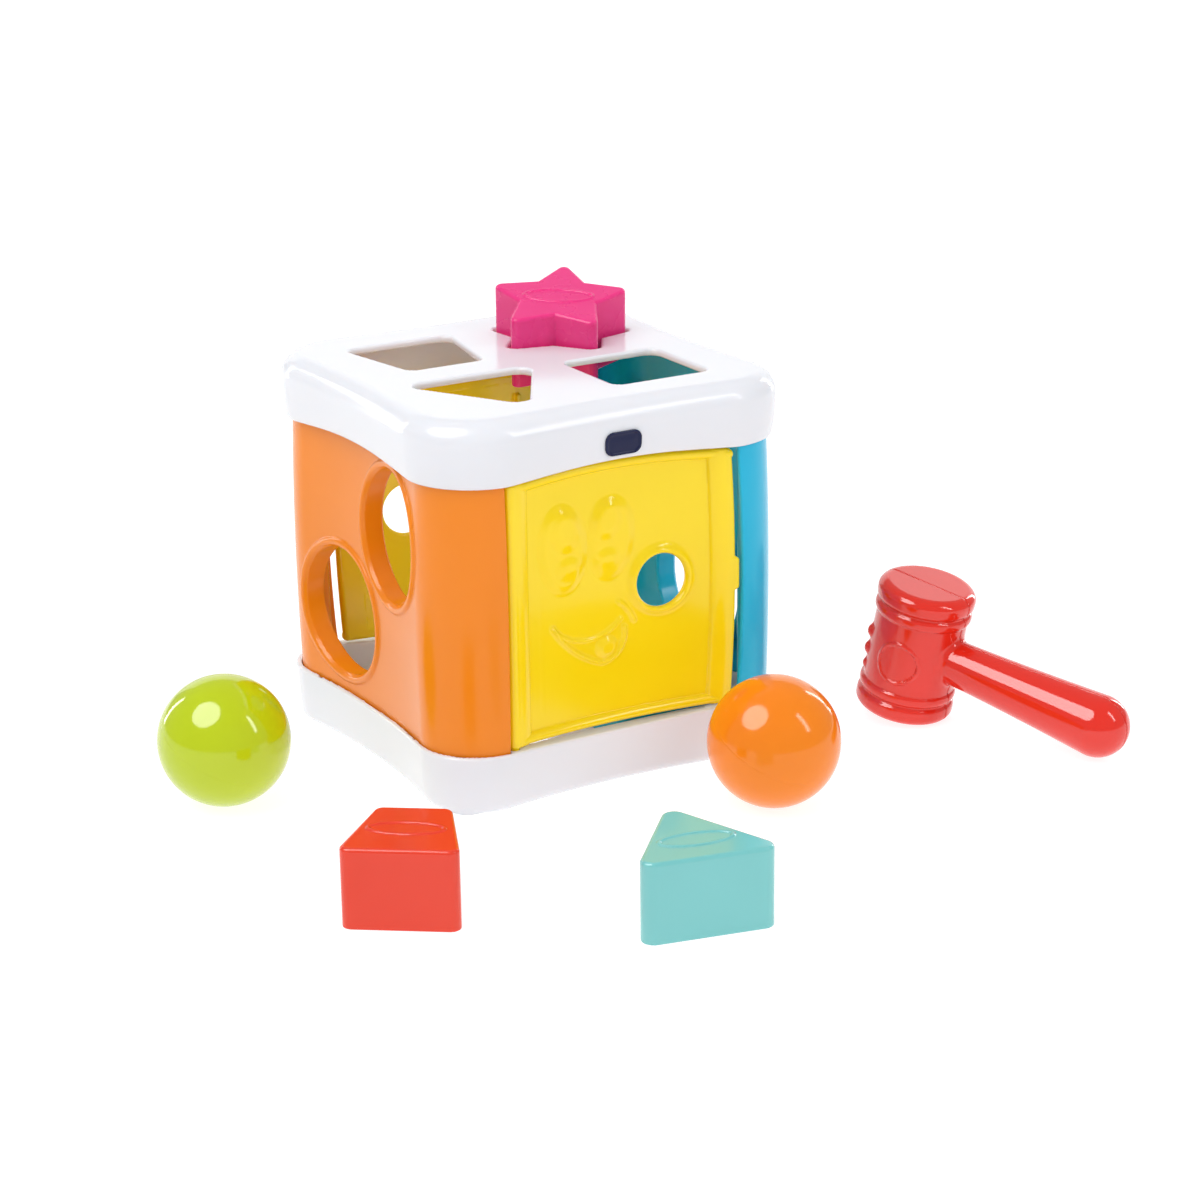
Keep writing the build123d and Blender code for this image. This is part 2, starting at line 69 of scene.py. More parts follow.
UPPER_WINDOW = ((-23.0, 104.3), (25.5, 28.0))
LOWER_WINDOW = ((23.6, 59.6), (28.5, 27.6))
COLLAR_DEPTH, COLLAR_WALL = 9.0, 2.2
WINDOW_BEAD_OUT, WINDOW_BEAD_SUNK, WINDOW_BEAD_R = 2.3, 0.75, 1.95

HINGE_X = -50.2
KNUCKLE_R, PIN_R, PIN_LENGTH = 2.6, 2.0, 10.0
HINGE_Y = -SIDE_REACH + sqrt(SIDE_R**2 - HINGE_X**2) + KNUCKLE_R
DOOR_LOW, DOOR_END, DOOR_MID = 25.4, 135.2, 138.0
DOOR_FREE, DOOR_BOW, DOOR_DEPTH = 52.2, 2.0, 4.0
DOOR_HOLE, DOOR_HOLE_R = (21.0, 83.0), 11.3
TAB_HALF, TAB_Z, TAB_SUNK, TAB_THICK = (3.3, 7.0), 81.5, 1.7, 1.1
DOOR_RIB_AT, DOOR_RIB_HALF, DOOR_RIB_SUNK, DOOR_RIB_REACH = 36.0, 1.1, 4.6, 46.0

BADGE_AT, BADGE_HALF, BADGE_ROUND = (-1.2, 146.4), (8.3, 4.9), 3.6

STAR_POINT_R, STAR_VALLEY_R = 32.3, 17.5
SQUARE_AT = (32.3, -35.6)
BLOCK_HIGH, BLOCK_WALL = 32.3, 2.2
OVAL, OVAL_LINE_R = (14.4, 5.6), 0.9
BALL_R = 27.06
GREEN_BALL_AT, ORANGE_BALL_AT = (-147.8, -10.0), (39.6, -129.35)
REST_GAP = 0.05


# Distance fields. Each gives the distance to a surface in millimetres, negative inside,
# and works on single points and on whole grids alike.
def both(a, b, r):
    """Where a and b overlap, with the edge between them rounded."""
    return np.minimum(np.maximum(a, b), -r) + np.hypot(np.maximum(a + r, 0), np.maximum(b + r, 0))


def either(a, b, r):
    """a and b joined, with a fillet between them."""
    return -both(-a, -b, r)


def without(a, b, r):
    """a with b taken away, and the edge rounded."""
    return both(a, -b, r)


def hollow_square(x, y, plan):
    """The plan outline: round corners joined by gently hollow sides."""
    half, corner, sag = plan
    c = half - corner
    side = (c * c + sag * sag) / (2 * sag) - corner
    reach = side + half - sag
    far = np.maximum(np.abs(x), np.abs(y))
    near = np.minimum(np.abs(x), np.abs(y))
    by_corner = np.hypot(far - c, near - c) - corner
    by_side = side - np.hypot(reach - far, near)
    return np.where(near * (reach - c) > c * (reach - far), by_corner, by_side)


def ellipse(x, y, a, b):
    """A near distance to an ellipse."""
    inner = np.hypot(x / a, y / b)
    slope = np.maximum(np.hypot(x / a**2, y / b**2), 1e-6)
    return inner * (inner - 1) / slope


def rounded_box(x, y, a, b, r):
    """A rectangle of half sizes a and b with round corners."""
    u = np.abs(x) - a + r
    v = np.abs(y) - b + r
    return np.hypot(np.maximum(u, 0), np.maximum(v, 0)) + np.minimum(np.maximum(u, v), 0) - r


def drawn_in(points, r):
    """A counter-clockwise outline's corners, each edge moved inwards by r."""
    points = np.array(points, float)
    along = np.roll(points, -1, 0) - points
    along /= np.linalg.norm(along, axis=1)[:, None]
    inward = np.stack((-along[:, 1], along[:, 0]), 1)
    before = np.roll(inward, 1, 0)
    corner = inward + before
    return points + r * corner / (1 + (inward * before).sum(1))[:, None]


def polygon(x, y, points, r):
    """A counter-clockwise outline with its outer corners rounded."""
    corners = drawn_in(points, r)
    nearest = np.full(np.broadcast(x, y).shape, 1e12)
    side = np.ones(nearest.shape)
    for (ax, ay), (bx, by) in zip(corners, np.roll(corners, 1, 0)):
        ex, ey = bx - ax, by - ay
        wx, wy = x - ax, y - ay
        t = np.clip((wx * ex + wy * ey) / (ex * ex + ey * ey), 0, 1)
        nearest = np.minimum(nearest, (wx - ex * t) ** 2 + (wy - ey * t) ** 2)
        above, below, left = y >= ay, y < by, ex * wy > ey * wx
        side = np.where((above & below & left) | (~above & ~below & ~left), -side, side)
    return side * np.sqrt(nearest) - r


def star_points(grow=0.0):
    """Corners of the star, the first point along +Y."""
    reach = [(STAR_VALLEY_R if step % 2 else STAR_POINT_R) + grow for step in range(10)]
    return [(-r * sin(step * pi / 5), r * cos(step * pi / 5)) for step, r in enumerate(reach)]


def trapezoid_points(front, back, depth):
    """Corners of a trapezoid with these half widths."""
    return [(-front, -depth / 2), (front, -depth / 2), (back, depth / 2), (-back, depth / 2)]


def triangle_points(side):
    """Corners of an equilateral triangle with its flat side towards +Y."""
    high = side * sqrt(3) / 2
    return [(side / 2, high / 3), (-side / 2, high / 3), (0, -2 * high / 3)]


def square_points(half):
    """Corners of a square."""
    return [(-half, -half), (half, -half), (half, half), (-half, half)]


def turned(x, y, place, degrees):
    """Points seen from a place that is turned by this many degrees."""
    c, s = cos(radians(degrees)), sin(radians(degrees))
    u, v = x - place[0], y - place[1]
    return u * c + v * s, -u * s + v * c


def arch(t, rise):
    """A soft arch over the middle of a side, of this rise."""
    return rise * np.clip(1 - (t / ARCH_HALF) ** 2, 0, 1) ** 1.5


def bowed(end, rise, t, least):
    """An edge that stands at end where t is 1 and bows out by this rise where t is 0."""
    return end + rise * np.clip(1 - t**2, least, 1)


# Meshes from distance fields
def gradient(field, p, step=0.05):
    """The field's slope at points."""
    slopes = []
    for axis in range(3):
        d = np.zeros(3)
        d[axis] = step
        slopes.append((field(*(p + d).T) - field(*(p - d).T)) / (2 * step))
    return np.stack(slopes, 1)


def onto(field, p, limit):
    """Points moved onto the field's surface, none further than limit a step."""
    slope = gradient(field, p)
    move = field(*p.T)[:, None] * slope / np.maximum((slope**2).sum(1), 0.04)[:, None]
    length = np.linalg.norm(move, axis=1)[:, None]
    return p - move * np.minimum(1, limit / np.maximum(length, 1e-9))


def surface_mesh(field, low, high, cell):
    """A mesh of evenly sized quads on a field's surface, inside a box, with the field's own normals."""
    axes = [np.arange(a - 1.37 * cell, b + 2.4 * cell, cell) for a, b in zip(low, high)]
    x, y, z = axes[0][:, None, None], axes[1][None, :, None], axes[2][None, None, :]
    shape = tuple(len(a) for a in axes)
    value = np.broadcast_to(field(x, y, z), shape)
    inside = value < 0
    count = sum(
        inside[i : shape[0] - 1 + i, j : shape[1] - 1 + j, k : shape[2] - 1 + k].astype(np.int8)
        for i in (0, 1) for j in (0, 1) for k in (0, 1)
    )
    # One point in each cell that the surface crosses
    cells = np.argwhere((count > 0) & (count < 8))
    index = np.full(count.shape, -1, np.int64)
    index[tuple(cells.T)] = np.arange(len(cells))
    total, hits = np.zeros((len(cells), 3)), np.zeros(len(cells))
    for axis in range(3):
        others = [a for a in range(3) if a != axis]
        for i in (0, 1):
            for j in (0, 1):
                near = np.zeros(3, int)
                near[others[0]], near[others[1]] = i, j
                far = near.copy()
                far[axis] = 1
                v0 = value[tuple((cells + near).T)]
                v1 = value[tuple((cells + far).T)]
                cut = (v0 < 0) != (v1 < 0)
                t = np.where(cut, v0 / np.where(cut, v0 - v1, 1), 0)
                spot = np.tile(near.astype(float), (len(cells), 1))
                spot[:, axis] = t
                total += spot * cut[:, None]
                hits += cut
    origin = np.array([a[0] for a in axes])
    p = origin + (cells + total / hits[:, None]) * cell
    # One quad around each grid edge that the surface crosses
    quads = []
    for axis in range(3):
        one, two = (axis + 1) % 3, (axis + 2) % 3
        first = [slice(None)] * 3
        second = [slice(None)] * 3
        first[axis], second[axis] = slice(0, -1), slice(1, None)
        a, b = inside[tuple(first)], inside[tuple(second)]
        for starts in (True, False):
            edges = np.argwhere((a & ~b) if starts else (b & ~a))
            edges = edges[(edges[:, one] > 0) & (edges[:, two] > 0)]
            ring = []
            for du, dv in ((1, 1), (0, 1), (0, 0), (1, 0)):
                c = edges.copy()
                c[:, one] -= du
                c[:, two] -= dv
                ring.append(index[tuple(c.T)])
            quad = np.stack(ring, 1)
            quads.append(quad if starts else quad[:, ::-1])
    quads = np.concatenate(quads)
    quads = quads[(quads >= 0).all(1)]
    # The quads are evened out, and then the points settle on the surface
    corners = np.concatenate([quads, np.roll(quads, 1, 1)])
    ones = np.concatenate([np.roll(quads, 1, 1), quads]).ravel()
    twos = corners.ravel()
    links = np.maximum(np.bincount(twos, minlength=len(p)), 1)[:, None]
    for _ in range(3):
        middle = np.stack([np.bincount(twos, p[ones, a], len(p)) for a in range(3)], 1) / links
        p = onto(field, p + 0.6 * (middle - p), 0.5 * cell)
    for _ in range(2):
        p = onto(field, p, 0.4 * cell)
    p = np.clip(p, low, high)
    normals = gradient(field, p)
    normals /= np.maximum(np.linalg.norm(normals, axis=1), 1e-9)[:, None]
    return p, quads, normals


def make_object(name, p, faces, normals, matrix=None):
    """A Blender object from millimetre points, placed by a matrix that holds metres."""
    mesh = bpy.data.meshes.new(name)
    mesh.from_pydata((p * MM).tolist(), [], faces.tolist())
    mesh.validate()
    mesh.polygons.foreach_set("use_smooth", np.ones(len(mesh.polygons), bool))
    if matrix is not None:
        mesh.transform(matrix)
        normals = normals @ np.array(matrix.to_3x3()).T
    mesh.normals_split_custom_set_from_vertices(normals.tolist())
    piece = bpy.data.objects.new(name, mesh)
    bpy.context.scene.collection.objects.link(piece)
    return piece


def finish_piece(piece, body, material, *nodes):
    """Give a piece its body, its material and the CAD nodes it stands for."""
    piece.data.materials.clear()
    piece.data.materials.append(materials[material])
    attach(piece, body)
    if nodes:
        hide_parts(*nodes)


# Materials
def glossy_plastic(name, colour, rough, shine, coat=0.05, glow=0.15, speckle=0.03):
    """Moulded plastic: flow marks in its colour, a finely uneven gloss and a painted highlight that
    lightens the rounded edges.
    """
    mat = bpy.data.materials.new(name)
    mat.use_nodes = True
    tree = mat.node_tree
    tree.nodes.clear()
    new, link = tree.nodes.new, tree.links.new
    out = new("ShaderNodeOutputMaterial")
    shader = new("ShaderNodeBsdfPrincipled")
    link(shader.outputs["BSDF"], out.inputs["Surface"])
    where = new("ShaderNodeTexCoord")

    def noise(scale, detail):
        node = new("ShaderNodeTexNoise")
        node.inputs["Scale"].default_value = scale
        node.inputs["Detail"].default_value = detail
        link(where.outputs["Object"], node.inputs["Vector"])
        return node.outputs["Fac"]

    def ramp(source, low, high):
        node = new("ShaderNodeMapRange")
        node.inputs["From Min"].default_value = 0.1
        node.inputs["From Max"].default_value = 0.9
        node.inputs["To Min"].default_value = low
        node.inputs["To Max"].default_value = high
        link(source, node.inputs["Value"])
        return node.outputs["Result"]

    def mixed(factor, one, two):
        node = new("ShaderNodeMix")
        node.data_type = "RGBA"
        link(factor, node.inputs["Factor"])
        for socket, value in (("A", one), ("B", two)):
            target = [i for i in node.inputs if i.name == socket and i.type == "RGBA"][0]
            if isinstance(value, tuple):
                target.default_value = (*value, 1)
            else:
                link(value, target)
        return [o for o in node.outputs if o.type == "RGBA"][0]

    darker = tuple(c * (1 - speckle) for c in colour)
    lighter = tuple(min(1, c * (1 + speckle) + 0.01) for c in colour)
    body = mixed(ramp(noise(22, 3), 0, 1), darker, lighter)
    # Convex edges, found from pointiness, are painted lighter: a painted highlight along the edges
    geometry = new("ShaderNodeNewGeometry")
    edge = new("ShaderNodeMapRange")
    edge.inputs["From Min"].default_value = 0.54
    edge.inputs["From Max"].default_value = 0.7
    edge.inputs["To Max"].default_value = 0.12
    link(geometry.outputs["Pointiness"], edge.inputs["Value"])
    painted_edge_highlight = tuple(c + (1 - c) * 0.3 for c in colour)
    link(mixed(edge.outputs["Result"], body, painted_edge_highlight), shader.inputs["Base Color"])
    link(ramp(noise(60, 4), rough * 0.75, rough * 1.35), shader.inputs["Roughness"])
    shader.inputs["Subsurface Weight"].default_value = glow
    shader.inputs["Subsurface Scale"].default_value = 0.004
    shader.inputs["Subsurface Radius"].default_value = (1.0, 0.8, 0.7)
    shader.inputs["Coat Weight"].default_value = coat
    shader.inputs["Coat Roughness"].default_value = 0.06
    shader.inputs["IOR"].default_value = 1.5
    shader.inputs["Specular IOR Level"].default_value = shine
    fine = new("ShaderNodeBump")
    fine.inputs["Strength"].default_value = 0.012
    fine.inputs["Distance"].default_value = 0.0006
    link(noise(140, 2), fine.inputs["Height"])
    link(fine.outputs["Normal"], shader.inputs["Normal"])
    return mat


def zinc_steel(name):
    """Bright zinc over steel, dulled unevenly."""
    mat = bpy.data.materials.new(name)
    mat.use_nodes = True
    tree = mat.node_tree
    new, link = tree.nodes.new, tree.links.new
    shader = tree.nodes["Principled BSDF"]
    shader.inputs["Metallic"].default_value = 1
    where = new("ShaderNodeTexCoord")
    cloud = new("ShaderNodeTexNoise")
    cloud.inputs["Scale"].default_value = 900
    cloud.inputs["Detail"].default_value = 3
    link(where.outputs["Object"], cloud.inputs["Vector"])
    tint = new("ShaderNodeValToRGB")
    tint.color_ramp.elements[0].color = (0.42, 0.42, 0.44, 1)
    tint.color_ramp.elements[1].color = (0.66, 0.66, 0.65, 1)
    link(cloud.outputs["Fac"], tint.inputs["Fac"])
    link(tint.outputs["Color"], shader.inputs["Base Color"])
    gloss = new("ShaderNodeMapRange")
    gloss.inputs["To Min"].default_value = 0.22
    gloss.inputs["To Max"].default_value = 0.5
    link(cloud.outputs["Fac"], gloss.inputs["Value"])
    link(gloss.outputs["Result"], shader.inputs["Roughness"])
    fine = new("ShaderNodeBump")
    fine.inputs["Strength"].default_value = 0.1
    fine.inputs["Distance"].default_value = 0.0002
    link(cloud.outputs["Fac"], fine.inputs["Height"])
    link(fine.outputs["Normal"], shader.inputs["Normal"])
    return mat


def hex_colour(text):
    """A linear colour from its usual six digits."""
    parts = [int(text[i : i + 2], 16) / 255 for i in (0, 2, 4)]
    return tuple(c / 12.92 if c <= 0.04045 else ((c + 0.055) / 1.055) ** 2.4 for c in parts)


# Colour, roughness and shine, and for some the coat, the glow from inside and the speckle
PLASTICS = {
    "white": ("e1e2e7", 0.16, 0.28, 0.1, 0.3, 0.01),
    "navy": ("07103c", 0.22, 0.25, 0, 0),
    "orange": ("ea8304", 0.2, 0.3),
    "blue": ("04b1d6", 0.17, 0.3),
    "yellow": ("f8d800", 0.16, 0.4, 0.1),
    "pink": ("e63280", 0.26, 0.3),
    "coral": ("e23a1e", 0.16, 0.4, 0.1),
    "aqua": ("74c2c1", 0.2, 0.6, 0.2),
    "lime": ("b8ca00", 0.09, 0.45, 0.2),
    "orange_ball": ("f08206", 0.12, 0.35, 0.1),
    "red": ("e0240e", 0.1, 0.5, 0.3),
}
materials = {
    f"{name}_plastic": glossy_plastic(f"{name}_plastic", hex_colour(colour), *look)
    for name, (colour, *look) in PLASTICS.items()
}
materials["screw_steel"] = zinc_steel("screw_steel")


# Lid. Each hole has an outline, a corner radius, a place and a turn in degrees
HOLES = (
    (trapezoid_points(17.0, 25.0, 46.5), 5.0, (-32.0, 31.5), 0.0),
    (triangle_points(61.0), 5.5, (-33.5, -29.0), 0.0),
    (square_points(22.3), 5.0, SQUARE_AT, 0.0),
    (star_points(2.2), 4.1, (33.35, 30.03), -35.2),
)
HINGES = ((HINGE_X, HINGE_Y), (-HINGE_X, -HINGE_Y))


def at_corners(x, y, reach):
    """Distance from the nearest of the four screw posts."""
    return np.hypot(np.abs(x) - reach, np.abs(y) - reach)


def at_hinges(x, y):
    """Distance from the nearer hinge axis."""
    return np.minimum(*[np.hypot(x - a, y - b) for a, b in HINGES])


def lid_outside(x, y, z):
    """The lid's outer skin, drawn in a little towards its lower edge."""
    tuck = LID_TUCK * np.clip((TUCK_FROM - z) / TUCK_HIGH, 0, 1.2) ** 2
    return both(hollow_square(x, y, LID) + tuck, z - LID_TOP, LID_ROUND)


def lid_field(x, y, z):
    """A hollow cover with posts for the panels, sockets for the doors' pins and four shaped holes."""
    outside = lid_outside(x, y, z)
    inside = both(hollow_square(x, y, SKIRT), z - LID_TOP + LID_DECK, 3.0)
    low = LID_LOW + np.maximum(arch(x, LID_ARCH), arch(y, LID_ARCH)) - z
    shell = both(both(outside, low, 1.0), -inside, 0.7)
    posts = both(at_corners(x, y, SCREW_AT) - LID_POST_R, POST_TOP - z, 0.5)
    sockets = both(at_hinges(x, y) - SOCKET_R, LID_LOW + 1.6 - z, 0.5)
    bores = both(at_hinges(x, y) - PIN_BORE_R, z - LID_LOW - SOCKET_DEPTH, 0.2)
    sockets = without(sockets, bores, 0.3)
    shell = either(shell, np.maximum(np.minimum(posts, sockets), outside + 1.3), 0.6)
    for points, r, place, turn in HOLES:
        u, v = turned(x, y, place, turn)
        shell = both(shell, -polygon(u, v, points, r), 1.3)
    return shell


def build_lid():
    low, high = (-LID[0], -LID[0], 136), (LID[0], LID[0], LID_TOP)
    p, quads, normals = surface_mesh(lid_field, low, high, 1.0)
    finish_piece(make_object("lid_cover", p, quads, normals), "cube", "white_plastic", "lid")


# Base tray
def base_field(x, y, z):
    """A rimmed tray with slots for the panels, pillars for the screws and two rings of tongues."""
    outline = hollow_square(x, y, BASE) - BASE_FLARE * z / BASE_TOP
    rim = z - BASE_TOP + np.maximum(arch(x, BASE_DIP), arch(y, BASE_DIP))
    body = both(both(outline, -z, BASE_ROUND), rim, 1.0)
    body = without(body, both(hollow_square(x, y, TRAY), FLOOR_HIGH - z, 2.0), 0.9)
    screw = at_corners(x, y, SCREW_AT)
    body = either(body, both(screw - PILLAR_R, rim, 0.6), 1.0)
    body = np.maximum(body, outline)
    body = without(body, both(hollow_square(x, y, RECESS), z - FLOOR_LOW, 1.0), 0.8)
    wall = hollow_square(x, y, WALL) - wall_swell(z)
    slot = np.abs(wall + WALL_THICK / 2) - WALL_THICK / 2 - SLOT_PLAY
    slot = np.maximum(np.maximum(slot, SLOT_LOW - z), SLOT_EDGE - np.abs(x))
    body = without(body, slot, 0.3)
    for side in (-1, 1):
        u, v = x - side * GATE_AT, y - side * GATE_AT
        r = np.hypot(u, v)
        angle = np.arctan2(v, u)
        step = pi / 4
        away = np.abs((angle + step / 2) % step - step / 2)
        slit = both(r * np.sin(away) - GATE_SLIT / 2, r - GATE_REACH - 1.0, 0.6)
        body = without(body, np.minimum(r - GATE_R, slit), 0.9)
    head = np.maximum(screw - SCREW_HEAD_R, z - FLOOR_HIGH)
    body = without(body, np.minimum(head, screw - SCREW_BORE_R), 0.4)
    return without(body, np.maximum(at_hinges(x, y) - PIN_BORE_R, PIN_HOLE_LOW - z), 0.3)


def wall_swell(z):
    """How far the panels' outer face stands out at a height."""
    t = z - WALL_LOW
    a, b = WALL_MID - WALL_LOW, WALL_HIGH - WALL_LOW
    square = (-WALL_LEAN / b - WALL_BULGE / a) / (b - a)
    return (WALL_BULGE / a - square * a) * t + square * t * t


def build_base():
    p, quads, normals = surface_mesh(base_field, (-82, -82, 0), (82, 82, BASE_TOP), 1.0)
    finish_piece(make_object("base_tray_body", p, quads, normals), "cube", "white_plastic", "base_tray")


# Side panels
def panel_field(x, y, z):
    """The orange panel: the left wall and both its corners."""
    face = hollow_square(x, y, WALL) - wall_swell(z)
    windows = [ellipse(y - cy, z - cz, a, b) for (cy, cz), (a, b) in (UPPER_WINDOW, LOWER_WINDOW)]
    nearest = np.minimum(*windows)
    wall = both(face, -face - WALL_THICK, 0.8)
    collar = both(both(nearest - COLLAR_WALL, -face - COLLAR_DEPTH, 0.8), face + 0.5, 0.3)
    wall = either(wall, collar, 1.0)
    for window in windows:
        bead = np.hypot(window - WINDOW_BEAD_OUT, face + WINDOW_BEAD_SUNK) - WINDOW_BEAD_R
        wall = either(wall, bead, 0.35)
    back = x + PANEL_EDGE - 0.3 + bowed(0, PANEL_BOW, (z - WALL_MID) / 70, -0.3)
    edge = np.where(y < 0, x + PANEL_EDGE, back)
    wall = both(wall, np.where(np.abs(y) > 30, edge, x + 40), 0.9)
    wall = both(wall, np.maximum(WALL_LOW - z, z - WALL_HIGH), 0.6)
    posts = np.hypot(x + SCREW_AT, np.abs(y) - SCREW_AT) - POST_R
    posts = np.maximum(np.maximum(posts, face + 0.8), np.maximum(BASE_TOP - z, z - POST_TOP))
    wall = either(wall, posts, 1.0)
    wall = without(wall, nearest, 1.1)
    return without(wall, np.maximum(at_hinge_line(x, y) - SOCKET_ROOM, LID_LOW + 0.6 - z), 0.2)


def at_hinge_line(x, y):
    """Distance from the door's axis at the panel's front end, or from its mirror image at the back."""
    return np.hypot(x - HINGE_X, np.abs(y) + HINGE_Y)


def build_panels():
    low, high = (-83, -82, WALL_LOW), (-50, 82, WALL_HIGH)
    p, quads, normals = surface_mesh(panel_field, low, high, 0.9)
    orange = make_object("orange_panel", p, quads, normals)
    finish_piece(orange, "cube", "orange_plastic", "orange_side_panel")
    blue = make_object("blue_panel", p, quads, normals, Matrix.Rotation(pi, 4, "Z"))
    finish_piece(blue, "cube", "blue_plastic", "blue_side_panel")


# Doors
def smooth_step(value, low, high):
    """0 below low, 1 above high, and a soft rise between."""
    t = np.clip((value - low) / (high - low), 0, 1)
    return t * t * (3 - 2 * t)


def arc_distance(x, z, start, middle, end):
    """Distance from a line drawn as an arc through three points of the front view."""
    (ax, az), (bx, bz), (cx, cz) = start, middle, end
    d = 2 * (ax * (bz - cz) + bx * (cz - az) + cx * (az - bz))
    a2, b2, c2 = ax**2 + az**2, bx**2 + bz**2, cx**2 + cz**2
    ox = (a2 * (bz - cz) + b2 * (cz - az) + c2 * (az - bz)) / d
    oz = (a2 * (cx - bx) + b2 * (ax - cx) + c2 * (bx - ax)) / d
    r = np.hypot(ax - ox, az - oz)
    mx, mz = (ax + cx) / 2 - ox, (az + cz) / 2 - oz
    if mx * (bx - ox) + mz * (bz - oz) < 0:
        mx, mz = -mx, -mz
    length = np.hypot(mx, mz)
    reach = (mx * (ax - ox) + mz * (az - oz)) / (length * r)
    towards = (mx * (x - ox) + mz * (z - oz)) / (length * np.maximum(np.hypot(x - ox, z - oz), 1e-6))
    by_ends = np.minimum(np.hypot(x - ax, z - az), np.hypot(x - cx, z - cz))
    return np.where(towards > reach, np.abs(np.hypot(x - ox, z - oz) - r), by_ends)


def dome(x, z, place, half_sizes, tilt, soft):
    """0 outside an oval and 1 well inside it, with a soft shoulder."""
    u, v = turned(x, z, place, tilt)
    return smooth_step(-ellipse(u, v, *half_sizes), -0.4, soft)


def bead(distance, width):
    """Depth of a rolled bead's surface at a distance from its middle line."""
    return BEAD_DEPTH * np.clip(np.abs(distance) / width, 0, 1) ** 2


FIELD_DEPTH, BEAD_DEPTH = 2.4, 1.3
BAR_HALF, RIB_HALF = 5.2, 2.1
# The face. Domes have a place, half sizes and a tilt in degrees, and lines pass through three points
EYES = (((-25.0, 103.5), (12.4, 19.6), 4.0), ((-1.9, 104.6), (11.6, 18.2), -5.0))
PADS = (
    ((-23.9, 111.0), (8.0, 9.6), 10.0), ((-4.3, 113.0), (8.0, 9.4), -6.0),
    ((-22.4, 95.6), (7.0, 5.8), 0.0), ((-4.0, 96.4), (6.8, 5.6), 0.0),
)
UPPER_LIP = ((-30.0, 71.0), (-13.0, 63.0), (2.4, 69.3))
LOWER_LIPS = (
    ((-30.0, 71.0), (-18.9, 58.7), (-6.5, 52.2)),
    ((-6.5, 52.2), (1.6, 56.3), (4.1, 65.5)),
)
CHEEK = ((1.8, 76.6), (5.9, 72.6), (8.6, 67.6))
TONGUE = ((-4.4, 58.4), (5.4, 5.0), 20.0)
EYE_RISE, EYE_SOFT = 1.1, 4.6
PAD_RISE, PAD_SOFT = 0.9, 5.0
TONGUE_RISE, TONGUE_SOFT = 1.4, 3.2
UPPER_LIP_SIZE, LOWER_LIP_SIZE, CHEEK_SIZE = (0.7, 0.75), (1.0, 0.9), (0.9, 0.95)
HOLE_LIP_OUT, HOLE_LIP_SIZE = 1.3, (2.0, 1.9)


def door_edges(x, z, least):
    """The door's bowed top and free edges."""
    top = bowed(DOOR_END, DOOR_MID - DOOR_END, x / 52, least)
    return top, bowed(DOOR_FREE, DOOR_BOW, (z - WALL_MID) / 56, least)


def ridge(distance, rise, width):
    """A soft raised line's height at a distance from its middle."""
    return rise * np.exp(-((distance / width) ** 2))


def door_relief(x, z):
    """How deep the door's outer face lies below its bars, at each place in its front view."""
    top, free = door_edges(x, z, 0)
    left = x - (HINGE_X - KNUCKLE_R + BAR_HALF)
    right = free - BAR_HALF - x
    bars = np.minimum(bead(left, BAR_HALF), bead(right, BAR_HALF))
    ribs = np.minimum(bead(z - DOOR_LOW - RIB_HALF, RIB_HALF), bead(top - RIB_HALF - z, RIB_HALF))
    across = np.minimum(left, right) - BAR_HALF
    upright = np.minimum(z - DOOR_LOW, top - z) - 2 * RIB_HALF
    within = smooth_step(np.minimum(across, upright), -0.2, 0.7)
    depth = np.minimum(bars, ribs) + (FIELD_DEPTH - BEAD_DEPTH) * within
    depth = depth - EYE_RISE * np.maximum(*[dome(x, z, *eye, EYE_SOFT) for eye in EYES])
    pads = [dome(x, z, *pad, PAD_SOFT) for pad in PADS]
    depth = depth - PAD_RISE * np.maximum(np.maximum(pads[0], pads[1]), np.maximum(pads[2], pads[3]))
    depth = depth - ridge(arc_distance(x, z, *UPPER_LIP), *UPPER_LIP_SIZE)
    lower = np.minimum(*[arc_distance(x, z, *arc) for arc in LOWER_LIPS])
    depth = depth - ridge(lower, *LOWER_LIP_SIZE)
    depth = depth - ridge(arc_distance(x, z, *CHEEK), *CHEEK_SIZE)
    depth = depth - TONGUE_RISE * dome(x, z, *TONGUE, TONGUE_SOFT)
    ring = np.hypot(x - DOOR_HOLE[0], z - DOOR_HOLE[1]) - DOOR_HOLE_R
    depth = depth - ridge(ring - HOLE_LIP_OUT, *HOLE_LIP_SIZE)
    return np.maximum(depth, 0)


def door_field(x, y, z):
    """A door: its curved leaf with a catch, knuckle, pins, two inner ribs and a finger hole."""
    # Depth behind the cube's hollow front
    inward = np.hypot(x, y + SIDE_REACH) - SIDE_R
    outer = door_relief(x, z) - inward
    top, free = door_edges(x, z, -0.1)
    edge = both(both(HINGE_X - x, x - free, 2.0), both(DOOR_LOW - z, z - top, 1.5), 2.0)
    door = both(both(outer, edge, 1.1), inward - DOOR_DEPTH, 2.2)
    tab = rounded_box(x - DOOR_FREE, z - TAB_Z, *TAB_HALF, 1.5)
    door = either(door, both(tab, np.abs(inward - TAB_SUNK) - TAB_THICK, 0.7), 0.8)
    hinge = np.hypot(x - HINGE_X, y - HINGE_Y)
    past_end = np.abs(z - (DOOR_LOW + DOOR_END) / 2) - (DOOR_END - DOOR_LOW) / 2
    door = either(door, both(hinge - KNUCKLE_R, past_end, 0.6), 0.5)
    door = either(door, both(hinge - PIN_R, past_end - PIN_LENGTH, 0.5), 0.3)
    beside_rib = np.abs(np.abs(x - 0.5) - DOOR_RIB_AT) - DOOR_RIB_HALF
    rib = both(beside_rib, np.abs(inward - DOOR_RIB_SUNK) - 1.6, 0.5)
    rib = both(rib, np.abs(z - 81) - DOOR_RIB_REACH, 0.5)
    door = either(door, rib, 0.6)
    hole = np.hypot(x - DOOR_HOLE[0], z - DOOR_HOLE[1]) - DOOR_HOLE_R
    return without(door, hole, 1.2)


